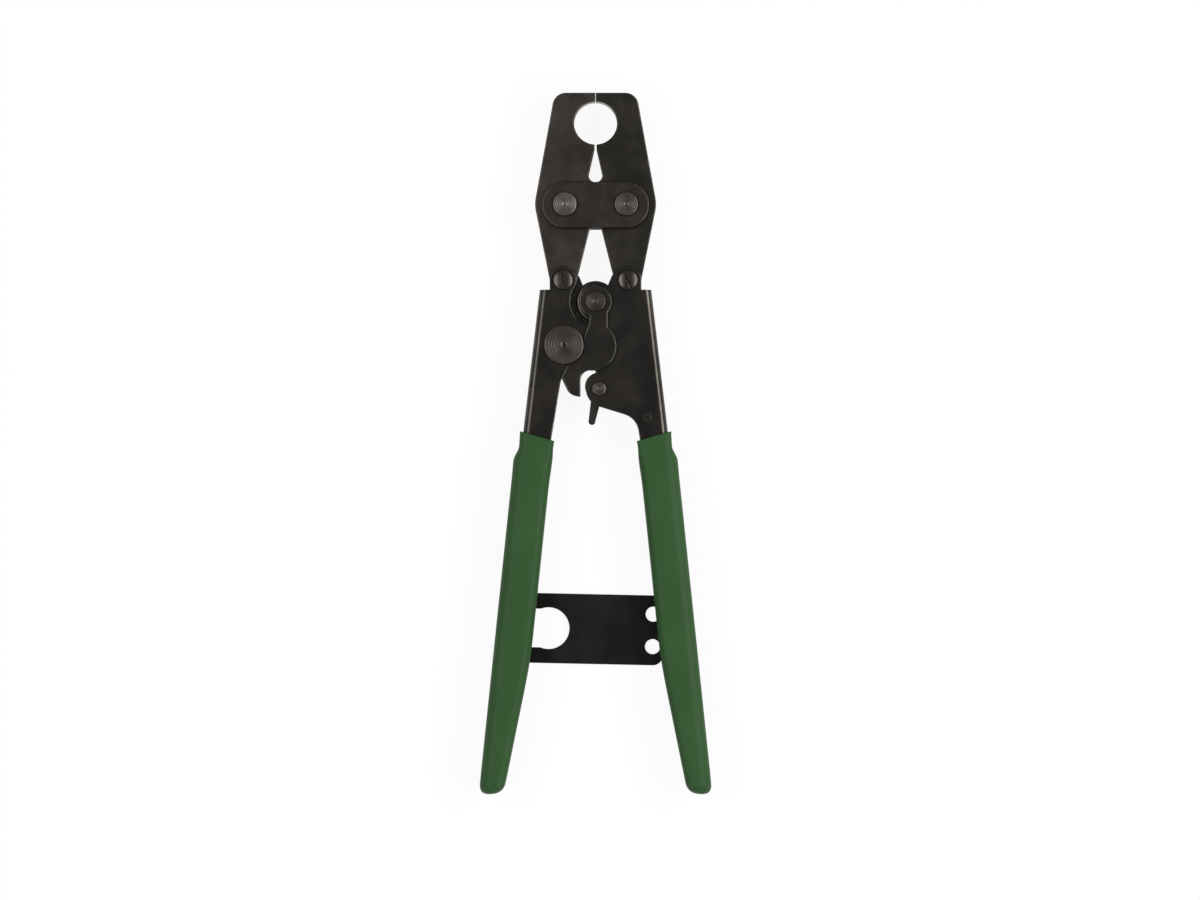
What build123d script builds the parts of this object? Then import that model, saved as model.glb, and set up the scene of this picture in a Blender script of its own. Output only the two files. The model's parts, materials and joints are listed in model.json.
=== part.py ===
from build123d import *
import os
from math import atan2, cos, degrees, hypot, radians, sin

# One-hand ratcheting ring crimping tool with a loose go/no-go gauge, in millimetres.
# It lies on its back: +Y runs from the grips to the jaws, +X is the right-hand handle's side,
# +Z points up from the surface it lies on.  Everything is drawn about the main pivot, with
# z = 0 at the middle of the tool's thickness, and moved to its place when it is written.
# The tool's two halves mirror each other about x = 0, apart from the layers at the pivot.

# ---- Driving dimensions ----
PIVOT_Y = 60.5            # main pivot above the middle of the tool's length
MID_Z = 11.0              # middle of the thickness above the surface
RUN = 0.05                # radial clearance of every running fit
FIT = 0.03                # radial clearance of every fixed fit
EDGE = 0.35               # broken edge on stamped plates

# Layers, as heights from the middle of the thickness
JAW_HALF = 4.5            # half the thickness of a jaw
SHEET = 2.0               # sheet thickness of handles and side plates
LOW_IN = 4.6              # inner face of the flange that lies under the other handle's plate
HIGH_IN = 4.7             # inner face of the flange that carries a side plate
PLATE_BASE = 6.7          # underside of the two side plates
PLATE_TOP = PLATE_BASE + SHEET
CORE_HALF = 2.0           # half the thickness of ratchet plate and pawl

# Head: jaws, link and their pins
HEAD_TOP = 89.3
HEAD_HALF = 17.45         # half width along the flat top
SHOULDER = (26.1, 41.6)   # widest point of a jaw
BORE_Y = 76.4
BORE_R = 9.2
TIP_GAP = 0.09            # half the slit above the bore
SLIT_HALF = 0.42          # half the slit below the bore
SLIT_END = 65.3
DROP_Y, DROP_R = 54.0, 2.9        # round end of the tear-drop slot
NOSE_GAP = 0.6            # half the gap between the jaws behind the link
NOSE_LOW = 39.0
LEG_IN = (2.5, 31.3)      # a point on the inner edge of a jaw's leg
LEG_R = 5.6               # round end of a jaw about its handle screw
LINK_X, LINK_Y = 13.1, 41.5       # link pins, either side
LINK_R, LINK_LOW = 9.8, 0.3       # round end of a link plate, and how far it lies below its pins
LINK_THICK = 3.0
LINK_PIN_R, LINK_HEAD_R, LINK_HEAD_H = 3.5, 5.0, 1.75
LINK_IN = JAW_HALF + RUN
LINK_OUT = LINK_IN + LINK_THICK
OPEN_PIVOT = 0.75         # play of the right link pin in the right jaw

# Handles
SCREW = (13.86, 9.17)     # pivot screw between a jaw and its handle
EAR_R = 5.7
HUB_EAR_R = 8.45          # ear of a flange that reaches round the main pivot
HUB_ROLL, HUB_SHIFT = 1.6, 1.0    # rolled rim of that ear on the front, and how far it fades sideways
HUB_CUT_R = 10.9          # cut-out of the flange that stays clear of it
HANDLE_TOP = 5.1
OUTER = ((23.85, 5.1), (31.7, -62.0), (34.0, -69.0), (47.6, -200.0))
INNER = ((38.4, -200.0), (28.9, -153.0), (19.0, -58.5))
BEND_R = 3.0
PAWL_EAR = (1.4, -36.2)
PAWL_EAR_R = 5.93
HANDLE_FAR = 60.0         # a limit past the outside of everything
BARREL_R, SHANK_R, SCREW_HEAD_R, SCREW_HEAD_H = 3.2, 2.2, 4.05, 1.9
SLOT_WIDTH, SLOT_DEPTH = 0.9, 1.0
SLOT_TILT = {"left": 12.0, "right": 22.0}

# Grips: outer and inner edges, and half thicknesses of collar and body
GRIP_OUTER = ((32.1, -55.4), (33.0, -62.6), (35.8, -68.6), (50.1, -210.3))
GRIP_INNER = ((39.4, -210.3), (27.9, -153.7), (18.05, -59.4))
GRIP_HALF, COLLAR_HALF = 8.7, 7.9
GRIP_ROUND, COLLAR_ROUND = 4.0, 2.0
COLLAR_END = -72.0        # the collar runs this far into the body

# Ratchet, side plates and their fasteners
PIN_R, PIN_HEAD_R, PIN_HEAD_H = 3.0, 4.25, 1.55
KNOB = (-13.4, -18.5)
KNOB_R, KNOB_STUD_R, KNOB_TOP = 8.3, 3.5, 11.0
PAWL = (1.5, -37.1)
PAWL_PIN_R, PAWL_HEAD_R, PAWL_HEAD_H = 2.0, 2.95, 1.4
TOOTH_R, TOOTH_DEPTH, TOOTH_COUNT = 28.0, 1.5, 9
TOOTH_FROM, TOOTH_TO = 276.0, 308.0       # polar angles of the toothed arc
NOSE_CLEAR = 0.35                         # pawl nose outside the tooth tips
TAIL_END = (-1.55, -51.1)
LUG_REACH = 5.4
ANCHOR = (22.0, -49.3)
ANCHOR_R = 1.0

RIVET = (6.5, -20.5)
RIVET_R, RIVET_HEAD_R = 1.6, 2.6
PLATE_DISC_R = 7.0        # side plates about the pivot and under the knob
LOBE, LOBE_R = (-1.5, -19.0), 10.5
TAB_HALF = 0.5            # half the thickness of the pawl's spring tab
WIRE_R, COIL_R = 0.3, 1.6
ANCHOR_HEAD_R, ANCHOR_HEAD_H = 2.0, 0.35

# Gauge
GAUGE_AT = (-1.6, -140.5)
GAUGE_SIZE = (61.8, 30.1)
GAUGE_TILT = -1.22
GAUGE_SLOT_R, GAUGE_SLOT_X, GAUGE_SLOT_WIDTH = 9.0, -18.7, 16.7
GAUGE_HOLE_R, GAUGE_HOLE_X, GAUGE_HOLE_PITCH = 3.25, 26.3, 14.0


# ---- Drawing helpers ----
def outline(*corners):
    """Closed flat face from (x, y, corner radius) corners."""
    points = [(x, y) for x, y, _ in corners]
    return make_face(FilletPolyline(*points, radius=[r for _, _, r in corners], close=True))


def disc(centre, radius):
    return Pos(*centre) * Circle(radius)


def slab(face, low, high):
    return Pos(0, 0, low) * extrude(face, high - low)


def rod(centre, radius, low, high):
    return slab(disc(centre, radius), low, high)


def polar(radius, angle):
    return radius * cos(radians(angle)), radius * sin(radians(angle))


def tangent_point(point, centre, radius, side):
    """Where the line from a point touches a circle, on its left (1) or right (-1) as seen from it."""
    dx, dy = centre[0] - point[0], centre[1] - point[1]
    reach = hypot(dx, dy)
    half = degrees(atan2(radius, (reach**2 - radius**2) ** 0.5))
    tx, ty = polar((reach**2 - radius**2) ** 0.5, degrees(atan2(dy, dx)) + side * half)
    return point[0] + tx, point[1] + ty


def break_edges(part, size=EDGE):
    """Chamfer the outline and the holes of a flat plate, on both faces."""
    flats = part.faces().filter_by(Axis.Z)
    return chamfer(ShapeList([e for f in flats for e in f.edges()]), size)


def left_of(part):
    return mirror(part, about=Plane.YZ)


def turned_head(centre, radius, base, height, down=False):
    """Turned pin head: bevelled rim, one turned groove and a lathe centre, on the side away from base."""
    rim, groove, groove_half, groove_deep, dimple = 0.35, 0.72 * radius, 0.25, 0.15, 0.14 * radius
    profile = Polyline(
        (0, 0), (radius, 0), (radius, height - rim), (radius - rim, height),
        (groove + groove_half, height), (groove, height - groove_deep), (groove - groove_half, height),
        (dimple, height), (0, height - dimple),
        close=True,
    )
    head = revolve(Plane.XZ * make_face(profile), Axis.Z)
    if down:
        head = mirror(head, about=Plane.XY)
    return Pos(centre[0], centre[1], base) * head


# ---- Jaws and link ----
def jaw():
    """The right jaw: half a bore at the tip, a link hole at the shoulder, a screw bore at its foot."""
    outer_touch = tangent_point(SHOULDER, SCREW, LEG_R, 1)
    inner_touch = tangent_point(LEG_IN, SCREW, LEG_R, -1)
    lean = (inner_touch[0] - LEG_IN[0]) / (LEG_IN[1] - inner_touch[1])
    nose = (NOSE_GAP, LEG_IN[1] + (LEG_IN[0] - NOSE_GAP) / lean)
    blank = outline(
        (TIP_GAP, HEAD_TOP, 0), (HEAD_HALF, HEAD_TOP, 5.7), (*SHOULDER, 15.0), (*outer_touch, 0),
        (*inner_touch, 0), (*nose, 6.0), (NOSE_GAP, DROP_Y, 0), (TIP_GAP, DROP_Y, 0),
    )
    drop_touch = tangent_point((SLIT_HALF, SLIT_END), (0, DROP_Y), DROP_R, 1)
    drop = outline(
        (0, BORE_Y, 0), (SLIT_HALF, BORE_Y, 0), (SLIT_HALF, SLIT_END, 0), (*drop_touch, 0),
        (0, DROP_Y, 0),
    )
    face = blank + disc(SCREW, LEG_R) - disc((0, BORE_Y), BORE_R) - drop - disc((0, DROP_Y), DROP_R)
    return face - disc(SCREW, BARREL_R + RUN)


def jaws():
    for side, play in (("right", OPEN_PIVOT), ("left", RUN)):
        face = jaw() - disc((LINK_X, LINK_Y), LINK_PIN_R + play)
        solid = break_edges(slab(face, -JAW_HALF, JAW_HALF))
        yield f"{side}_jaw", solid if side == "right" else left_of(solid)


def link():
    centres = [(-LINK_X, LINK_Y), (LINK_X, LINK_Y)]
    stadium = Pos(0, LINK_Y - LINK_LOW) * SlotCenterToCenter(2 * LINK_X, 2 * LINK_R)
    for centre in centres:
        stadium -= disc(centre, LINK_PIN_R + FIT)
    plate = break_edges(slab(stadium, LINK_IN, LINK_OUT), 0.5)
    yield "front_link_plate", plate
    yield "rear_link_plate", mirror(plate, about=Plane.XY)
    for side, centre in zip(("left", "right"), centres):
        pin = rod(centre, LINK_PIN_R, -LINK_OUT, LINK_OUT)
        pin += turned_head(centre, LINK_HEAD_R, LINK_OUT, LINK_HEAD_H)
        pin += turned_head(centre, LINK_HEAD_R, -LINK_OUT, LINK_HEAD_H, down=True)
        yield f"{side}_link_pin", pin


# ---- Handles ----
def flange(top_corner, pivot_side):
    """Plan of one flange of the right handle, from its ear down to the end inside the grip."""
    ear_touch = tangent_point(top_corner[:2], SCREW, EAR_R, 1)
    ear_side = SCREW[0] + EAR_R
    far = OUTER[-1][0] + 10
    face = outline(
        top_corner, (*ear_touch, 0), (ear_side, SCREW[1], 0), (ear_side, HANDLE_TOP, 0),
        (far, HANDLE_TOP, 0), (far, INNER[0][1], 0), (*INNER[0], 0), (*INNER[1], 0), (*INNER[2], 0),
        *pivot_side,
    )
    return face + disc(SCREW, EAR_R)


def pawl_corners():
    return (17.5, -49.6, 8.5), (-3.2, -43.2, 8.0), (PAWL_EAR[0] - PAWL_EAR_R, PAWL_EAR[1], 0)


def pawl_and_hub_flange():
    """Front flange of the right handle: ears round the main pivot and round the pawl."""
    gap = ((0.3, -31.0, 0), (0.3, -12.0, 3.0), (-1.5, -8.0, 0), (4.9, 6.2, 0))
    face = flange((7.0, 11.2, 1.0), (*pawl_corners(), *gap))
    return face + disc((0, 0), HUB_EAR_R) + disc(PAWL_EAR, PAWL_EAR_R)


def pawl_flange():
    """Rear flange of the right handle: carries the pawl, clear of the main pivot."""
    gap = ((0.8, -30.4, 0), (5.5, -17.3, 2.0), (3.4, -10.4, 0), (3.0, -6.0, 0), (8.8, -6.0, 0))
    face = flange((8.8, 12.0, 0), (*pawl_corners(), *gap))
    return face + disc(PAWL_EAR, PAWL_EAR_R) - disc((0, 0), HUB_CUT_R)


def plain_flange():
    """Front flange of the left handle, drawn as for the right: clear of the main pivot."""
    gap = (14.7, -32.2, 6.0), (12.5, -28.5, 2.5), (5.5, -17.3, 2.0), (3.4, -10.4, 0)
    face = flange((8.8, 12.0, 0), (*gap, (3.0, -6.0, 0), (8.8, -6.0, 0)))
    return face - disc((0, 0), HUB_CUT_R)


def hub_flange():
    """Rear flange of the left handle, drawn as for the right: an ear round the main pivot only."""
    gap = (14.7, -32.2, 6.0), (9.0, -27.0, 4.0), (-1.5, -15.0, 3.0), (-1.5, -8.0, 0)
    return flange((7.0, 11.2, 1.0), (*gap, (4.9, 6.2, 0))) + disc((0, 0), HUB_EAR_R)


def handle_block(inset, low, high, bend):
    """Solid block under the handle's bent outer side, its long outer edges rounded."""
    (x0, y0), (x1, y1), (x2, y2), (x3, y3) = OUTER
    top, bottom, far, knee = 20.0, y3 - 5, -20.0, 14.0
    top_x = x0 - (top - y0) * (x1 - x0) / (y0 - y1)
    bottom_x = x3 + (y3 - bottom) * (x3 - x2) / (y2 - y3)
    face = outline(
        (far, top, 0), (top_x - inset, top, 0), (x1 - inset, y1, knee), (x2 - inset, y2, knee),
        (bottom_x - inset, bottom, 0), (far, bottom, 0),
    )
    block = slab(face, low, high)
    outer = block.edges().filter_by(lambda e: e.center().X > SCREW[0] + EAR_R)
    rims = outer.group_by(Axis.Z)[0] + outer.group_by(Axis.Z)[-1]
    return fillet(rims, bend)


def channel(front, rear, front_in, rear_in):
    """U-shaped handle of bent sheet, open towards the other handle, with its two flanges cut to plan."""
    top, bottom = front_in + SHEET, -rear_in - SHEET
    shell = handle_block(0, bottom, top, BEND_R)
    shell -= handle_block(SHEET, -rear_in, front_in, BEND_R - SHEET)
    end = OUTER[-1][1]
    middle = Pos(0, (HANDLE_TOP + end) / 2) * Rectangle(2 * HANDLE_FAR, HANDLE_TOP - end)
    keep = slab(front, front_in, top) + slab(middle, -rear_in, front_in)
    return shell & (keep + slab(rear, bottom, -rear_in))


def drill(body, *holes):
    """Cut round holes, each a (centre, radius, low, high) of a rod."""
    for centre, radius, low, high in holes:
        body -= rod(centre, radius, low, high)
    return body


def rim_waste():
    """What a rolled rim takes off the front ear round the main pivot, most on its free side."""
    reach, top, over, lean = HUB_EAR_R + HUB_SHIFT, LOW_IN + SHEET, 2.0, 1 - sin(radians(45))
    start, end = (reach - HUB_ROLL, top), (reach, top - HUB_ROLL)
    middle = (reach - HUB_ROLL * lean, top - HUB_ROLL * lean)
    square = Polyline(end, (reach + over, end[1]), (reach + over, top + over), (start[0], top + over), start)
    ring = revolve(Plane.XZ * make_face(square + ThreePointArc(start, middle, end)), Axis.Z)
    free = outline((-20, -8.2, 0), (0.5, -8.2, 0), (0.5, 20, 0), (-20, 20, 0))
    return (Pos(HUB_SHIFT, 0, 0) * ring) & slab(free, 0, 20)


def handles():
    over = 20
    barrel = (SCREW, BARREL_R + FIT, -over, over)
    right = drill(
        channel(pawl_and_hub_flange(), pawl_flange(), LOW_IN, HIGH_IN), barrel,
        ((0, 0), PIN_R + FIT, 0, over), (PAWL, PAWL_PIN_R + FIT, -over, over),
        (ANCHOR, ANCHOR_R + FIT, -over, over), (RIVET, RIVET_R + FIT, -over, 0),
    )
    right -= rim_waste()
    left = drill(
        channel(plain_flange(), hub_flange(), HIGH_IN, LOW_IN), barrel,
        ((0, 0), PIN_R + RUN, -over, 0), ((-KNOB[0], KNOB[1]), KNOB_STUD_R + FIT, -over, over),
    )
    yield "right_handle_channel", right
    yield "left_handle_channel", left_of(left)


def grip():
    """Right grip: a thick dipped sleeve with a thinner collar, hollow where the handle is."""
    (collar_top, collar_low, start, end), (tip, taper, inner_top) = GRIP_OUTER, GRIP_INNER
    body_top = collar_low[1] - 1
    main = outline(
        (collar_low[0], body_top, 0), (*start, 9.0), (*end, 5.4), (*tip, 5.0), (*taper, 60.0),
        (inner_top[0] + 0.7, body_top, 0),
    )
    collar = outline(
        (*collar_top, 1.2), (*collar_low, 0), (start[0] - 0.6, COLLAR_END, 0),
        (inner_top[0] + 1.5, COLLAR_END, 0), (*inner_top, 1.2),
    )
    body = slab(main, -GRIP_HALF, GRIP_HALF)
    body = fillet(body.faces().filter_by(Axis.Z).edges(), GRIP_ROUND)
    neck = slab(collar, -COLLAR_HALF, COLLAR_HALF)
    rims = neck.faces().filter_by(Axis.Z).edges()
    neck = fillet(rims.filter_by(lambda e: e.center().Y > COLLAR_END + 1), COLLAR_ROUND)
    cavity = handle_block(-RUN, -HIGH_IN - SHEET - RUN, HIGH_IN + SHEET + RUN, BEND_R)
    above = -45.0
    core = outline(
        (*INNER[0], 0), (*INNER[1], 0), (INNER[2][0] - RUN, INNER[2][1], 0), (16.5, above, 0),
        (HANDLE_FAR, above, 0), (HANDLE_FAR, INNER[0][1], 0),
    )
    return (body + neck) - (cavity & slab(core, -GRIP_HALF, GRIP_HALF))


def grips():
    solid = grip()
    yield "right_grip", solid
    yield "left_grip", left_of(solid)


def pivot_screws():
    """Slotted screws through the ears of both handles, each in a sleeve nut that its jaw turns on."""
    sides = (("right", SCREW[0], LOW_IN, HIGH_IN), ("left", -SCREW[0], HIGH_IN, LOW_IN))
    for side, x, front, rear in sides:
        centre, top, bottom = (x, SCREW[1]), front + SHEET, -rear - SHEET
        head_top = top + SCREW_HEAD_H
        head = rod(centre, SCREW_HEAD_R, top, head_top)
        head = chamfer(head.edges().sort_by(Axis.Z)[-1], 0.5)
        slot = Rot(0, 0, SLOT_TILT[side]) * Box(SLOT_WIDTH, 3 * SCREW_HEAD_R, 2 * SLOT_DEPTH)
        head -= Pos(*centre, head_top) * slot
        yield f"{side}_pivot_screw", head + rod(centre, SHANK_R, bottom + 1, top)
        nut = rod(centre, BARREL_R, bottom, top) - rod(centre, SHANK_R + FIT, bottom, top)
        nut += turned_head(centre, SCREW_HEAD_R, bottom, SCREW_HEAD_H, down=True)
        yield f"{side}_sleeve_nut", nut


# ---- Pivot, ratchet and side plates ----
def hook_plate():
    """Front side plate of the left handle: pivot disc, neck, lobe under the knob and a hook."""
    edge_top, edge_low = (-2.9, -9.2), (-5.8, -17.3)
    window = outline(
        (*edge_top, 0), (20, -5, 0), (20, -35, 0), (-14, -35, 0), (-14, edge_low[1], 0), (*edge_low, 0))
    lobe = disc(LOBE, LOBE_R) & window
    neck = outline((-2.5, -5.5, 0), (5.3, -4.2, 0), (5.3, -12.0, 0), (-2.0, -12.0, 0), (*edge_top, 0))
    hook = outline(
        (-5.0, -20.0, 0), (1.0, -29.0, 0), (-6.4, -29.9, 4.2), (-6.4, -40.8, 0.4), (-11.2, -39.7, 5.5),
        (-14.8, -32.2, 2.5), (-10.5, -24.6, 0),
    )
    face = lobe + neck + hook + disc((0, 0), PLATE_DISC_R) + disc(KNOB, PLATE_DISC_R)
    return face - disc((0, 0), PIN_R + RUN) - disc(KNOB, KNOB_STUD_R + FIT)


def strap():
    """Rear side plate of the right handle: ties the main pivot to the pawl pin."""
    face = disc((0, 0), PLATE_DISC_R) + disc((3.6, -19.5), 7.2) + disc(PAWL, 5.2)
    face += outline(
        (-3.2, -6.0, 0), (5.5, -4.0, 0), (9.5, -16.5, 0), (9.0, -24.0, 0), (6.3, -35.5, 0),
        (-0.5, -34.5, 0), (0.6, -30.5, 1.5), (-2.5, -26.0, 1.5), (-4.0, -20.0, 0),
    )
    for centre, radius in (((0, 0), PIN_R), (PAWL, PAWL_PIN_R), (RIVET, RIVET_R)):
        face -= disc(centre, radius + FIT)
    return face


def ratchet():
    """Toothed plate of the left handle: saw teeth about the main pivot, with relief at both ends."""
    root = TOOTH_R - TOOTH_DEPTH
    pitch = (TOOTH_TO - TOOTH_FROM) / TOOTH_COUNT
    corners = [
        (0.0, 5.0, 0), (-15.0, -12.0, 0), (-18.5, -22.0, 0), (-12.0, -24.8, 3.0),
        (*polar(23.0, 262), 0), (*polar(23.0, 273), 0),
    ]
    for tooth in range(TOOTH_COUNT):
        start = TOOTH_FROM + tooth * pitch
        corners += [(*polar(root, start), 0), (*polar(TOOTH_R, start + 0.5 * pitch), 0)]
    corners += [(*polar(root, TOOTH_TO), 0), (*polar(21.0, TOOTH_TO + 4), 4.0)]
    face = outline(*corners) + disc((0, 0), 9.0) + disc(KNOB, 6.5)
    return face - disc((0, 0), PIN_R + RUN) - disc(KNOB, KNOB_STUD_R + FIT)


def pivot_stack():
    yield "front_hook_plate", break_edges(slab(hook_plate(), PLATE_BASE, PLATE_TOP))
    yield "rear_side_plate", break_edges(slab(strap(), -PLATE_TOP, -PLATE_BASE))
    yield "ratchet_plate", slab(ratchet(), -CORE_HALF, CORE_HALF)
    pin = rod((0, 0), PIN_R, -PLATE_TOP, PLATE_TOP + RUN)
    pin += turned_head((0, 0), PIN_HEAD_R, PLATE_TOP + RUN, PIN_HEAD_H)
    yield "centre_pin", pin + turned_head((0, 0), PIN_HEAD_R, -PLATE_TOP, PIN_HEAD_H, down=True)
    rivet = rod(RIVET, RIVET_R, -PLATE_TOP, -HIGH_IN)
    yield "side_plate_rivet", rivet + turned_head(RIVET, RIVET_HEAD_R, -PLATE_TOP, 1.0, down=True)
    wall = 2.6
    rings = (
        ("front_hub_spacer", (0, 0), PIN_R + RUN, CORE_HALF, LOW_IN - RUN),
        ("rear_hub_spacer", (0, 0), PIN_R + RUN, -LOW_IN, -CORE_HALF),
        ("front_knob_spacer", KNOB, KNOB_STUD_R + FIT, CORE_HALF, HIGH_IN),
        ("rear_knob_spacer", KNOB, KNOB_STUD_R + FIT, -LOW_IN, -CORE_HALF),
    )
    for name, centre, bore, low, high in rings:
        yield name, slab(disc(centre, bore + wall) - disc(centre, bore), low, high)


def knob():
    """Turned knob on a stud through the left handle, with its washer and nut behind."""
    washer_low, nut_low = -LOW_IN - SHEET - 1.2, -KNOB_TOP
    stud = rod(KNOB, KNOB_STUD_R, nut_low + 0.3, PLATE_TOP)
    yield "knob_bolt", stud + turned_head(KNOB, KNOB_R, PLATE_TOP, KNOB_TOP - PLATE_TOP)
    bore = disc(KNOB, KNOB_STUD_R + FIT)
    yield "knob_washer", slab(disc(KNOB, 7.2) - bore, washer_low, -LOW_IN - SHEET)
    hexagon = Pos(*KNOB) * RegularPolygon(6.0, 6, major_radius=False)
    cone = chamfer(rod(KNOB, 6.9, nut_low, washer_low).edges().sort_by(Axis.Z)[0], 0.7)
    nut = slab(hexagon, nut_low, washer_low) & cone
    yield "knob_nut", nut - slab(bore, nut_low, washer_low)


def along_spring(distance):
    """Point on the line from the pawl pin to the spring's anchor."""
    dx, dy = ANCHOR[0] - PAWL[0], ANCHOR[1] - PAWL[1]
    share = distance / hypot(dx, dy)
    return PAWL[0] + dx * share, PAWL[1] + dy * share


def pawl():
    """Pawl on its pin: a nose up to the teeth, a tail to push on, and a thin tab for the spring."""
    x, y = PAWL
    nose = y + hypot(*PAWL) - TOOTH_R - NOSE_CLEAR
    lug = along_spring(LUG_REACH)
    body = disc(PAWL, 4.6)
    body += outline((x - 3.2, y + 2, 0), (x - 0.9, nose, 0.4), (x + 0.5, nose, 0.4), (x + 3.2, y + 2, 0))
    body += outline((-3.05, TAIL_END[1], 0), (-1.4, y, 0), (3.6, y, 0), (-0.07, TAIL_END[1], 0))
    body += disc(TAIL_END, 1.5)
    tab = disc(lug, 1.7) + disc(along_spring(3.4), 2.6)
    solid = slab(body, -CORE_HALF, CORE_HALF) + slab(tab, -TAB_HALF, TAB_HALF)
    solid -= rod(PAWL, PAWL_PIN_R + RUN, -CORE_HALF, CORE_HALF)
    return solid - rod(lug, 0.9, -CORE_HALF, CORE_HALF)


def spring():
    """Plain stand-in for the pawl's coil spring: a tube between two eyes, along its own X."""
    dx, dy = ANCHOR[0] - PAWL[0], ANCHOR[1] - PAWL[1]
    length = hypot(dx, dy) - LUG_REACH
    pawl_eye_r, anchor_eye_r = 1.3, ANCHOR_R + 0.1 + WIRE_R
    first, last, cap, sink = 2.4, length - 2 * anchor_eye_r + 0.5, 0.4, 0.2

    def round_bar(face, start, end):
        return Pos(start, 0, 0) * Rot(0, 90, 0) * extrude(face, end - start)

    body = round_bar(Circle(COIL_R) - Circle(COIL_R - 2 * WIRE_R), first, last)
    body += round_bar(Circle(COIL_R), first, first + cap)
    body += round_bar(Circle(COIL_R), last - cap, last)
    body += round_bar(Circle(WIRE_R), last - sink, length - anchor_eye_r)
    body += Pos(pawl_eye_r, 0, 0) * Rot(90, 0, 0) * Torus(pawl_eye_r, WIRE_R)
    body += Pos(length, 0, 0) * Torus(anchor_eye_r, WIRE_R)
    return Pos(*along_spring(LUG_REACH)) * Rot(0, 0, degrees(atan2(dy, dx))) * body


def pawl_group():
    yield "pawl", pawl()
    pin = rod(PAWL, PAWL_PIN_R, -PLATE_TOP, LOW_IN + SHEET)
    pin += turned_head(PAWL, PAWL_HEAD_R, LOW_IN + SHEET, PAWL_HEAD_H)
    yield "pawl_pin", pin + turned_head(PAWL, PAWL_HEAD_R, -PLATE_TOP, PAWL_HEAD_H, down=True)
    bush = disc(PAWL, 3.6) - disc(PAWL, PAWL_PIN_R + FIT)
    yield "front_pawl_bush", slab(bush, CORE_HALF + RUN, LOW_IN)
    yield "rear_pawl_bush", slab(bush, -HIGH_IN, -CORE_HALF - RUN)
    yield "pawl_spring", spring()
    low, high = -HIGH_IN - SHEET, LOW_IN + SHEET
    anchor = rod(ANCHOR, ANCHOR_R, low, high)
    anchor += rod(ANCHOR, ANCHOR_HEAD_R, high, high + ANCHOR_HEAD_H)
    yield "spring_anchor_pin", anchor + rod(ANCHOR, ANCHOR_HEAD_R, low - ANCHOR_HEAD_H, low)


# ---- Gauge ----
def gauge():
    """Flat go/no-go plate under the grips: an open-ended slot and two small holes."""
    face = fillet(Rectangle(*GAUGE_SIZE).vertices(), 4.5)
    face -= disc((GAUGE_SLOT_X, 0), GAUGE_SLOT_R)
    face -= Pos(GAUGE_SLOT_X - 15, 0) * Rectangle(30, GAUGE_SLOT_WIDTH)
    for y in (-GAUGE_HOLE_PITCH / 2, GAUGE_HOLE_PITCH / 2):
        face -= disc((GAUGE_HOLE_X, y), GAUGE_HOLE_R)
    plate = break_edges(slab(face, -MID_Z, -MID_Z + SHEET), 0.3)
    return Pos(*GAUGE_AT) * Rot(0, 0, GAUGE_TILT) * plate


# ---- Write every sub-part in its place ----
os.makedirs("parts", exist_ok=True)
place = Pos(0, PIVOT_Y, MID_Z)
groups = (jaws, link, handles, grips, pivot_screws, pivot_stack, knob, pawl_group)
nodes = [(name, solid) for group in groups for name, solid in group()]
nodes.append(("gauge_plate", gauge()))
for name, solid in nodes:
    export_step(place * solid, f"parts/{name}.step")
print(len(nodes), "sub-parts written")
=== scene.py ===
# %% [markdown]
# # A ring crimping tool in black oxide steel and dipped vinyl
#
# The tool lies flat on its back on a pale table. It has two thick jaws that close to a round
# bore, a link plate, two handles bent from sheet steel, a ratchet between them, green dipped
# grips and a loose gauge plate. Its construction is already made to size in CAD. This lesson
# gives each part its finish, and models the pieces whose surface a machine or a dip made: the
# turned pins and knob, the slotted screws, the grips and the pawl's spring.

# %% Load the frame
import json
import math
import bpy
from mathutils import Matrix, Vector


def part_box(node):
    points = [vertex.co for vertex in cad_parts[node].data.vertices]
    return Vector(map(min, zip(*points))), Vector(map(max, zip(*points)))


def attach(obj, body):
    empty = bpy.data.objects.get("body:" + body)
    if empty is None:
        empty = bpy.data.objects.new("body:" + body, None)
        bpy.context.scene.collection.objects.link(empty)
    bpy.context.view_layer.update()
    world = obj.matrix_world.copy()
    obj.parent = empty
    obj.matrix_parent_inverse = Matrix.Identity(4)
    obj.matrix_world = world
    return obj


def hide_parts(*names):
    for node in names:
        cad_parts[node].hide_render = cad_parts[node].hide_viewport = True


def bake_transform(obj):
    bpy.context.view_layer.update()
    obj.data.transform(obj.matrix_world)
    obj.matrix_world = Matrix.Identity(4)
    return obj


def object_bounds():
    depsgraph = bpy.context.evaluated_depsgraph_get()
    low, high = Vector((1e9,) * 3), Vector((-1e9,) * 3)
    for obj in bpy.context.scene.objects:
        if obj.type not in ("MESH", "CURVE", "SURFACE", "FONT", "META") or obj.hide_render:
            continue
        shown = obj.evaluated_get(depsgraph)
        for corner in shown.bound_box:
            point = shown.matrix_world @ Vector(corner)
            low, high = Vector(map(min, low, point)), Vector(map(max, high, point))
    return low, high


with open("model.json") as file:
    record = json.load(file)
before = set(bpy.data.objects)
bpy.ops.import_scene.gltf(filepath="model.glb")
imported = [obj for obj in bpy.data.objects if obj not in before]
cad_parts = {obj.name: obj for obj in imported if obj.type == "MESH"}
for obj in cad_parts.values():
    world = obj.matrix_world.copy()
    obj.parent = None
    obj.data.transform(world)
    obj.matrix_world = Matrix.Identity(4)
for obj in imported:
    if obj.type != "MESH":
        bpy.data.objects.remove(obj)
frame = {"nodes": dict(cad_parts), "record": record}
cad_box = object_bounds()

MM = 0.001
MICRON = 0.001 * MM
tool_low, tool_high = cad_box
tool_length = tool_high.y - tool_low.y
print("tool", [round(v / MM, 1) for v in tool_high - tool_low], "mm")

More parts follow.
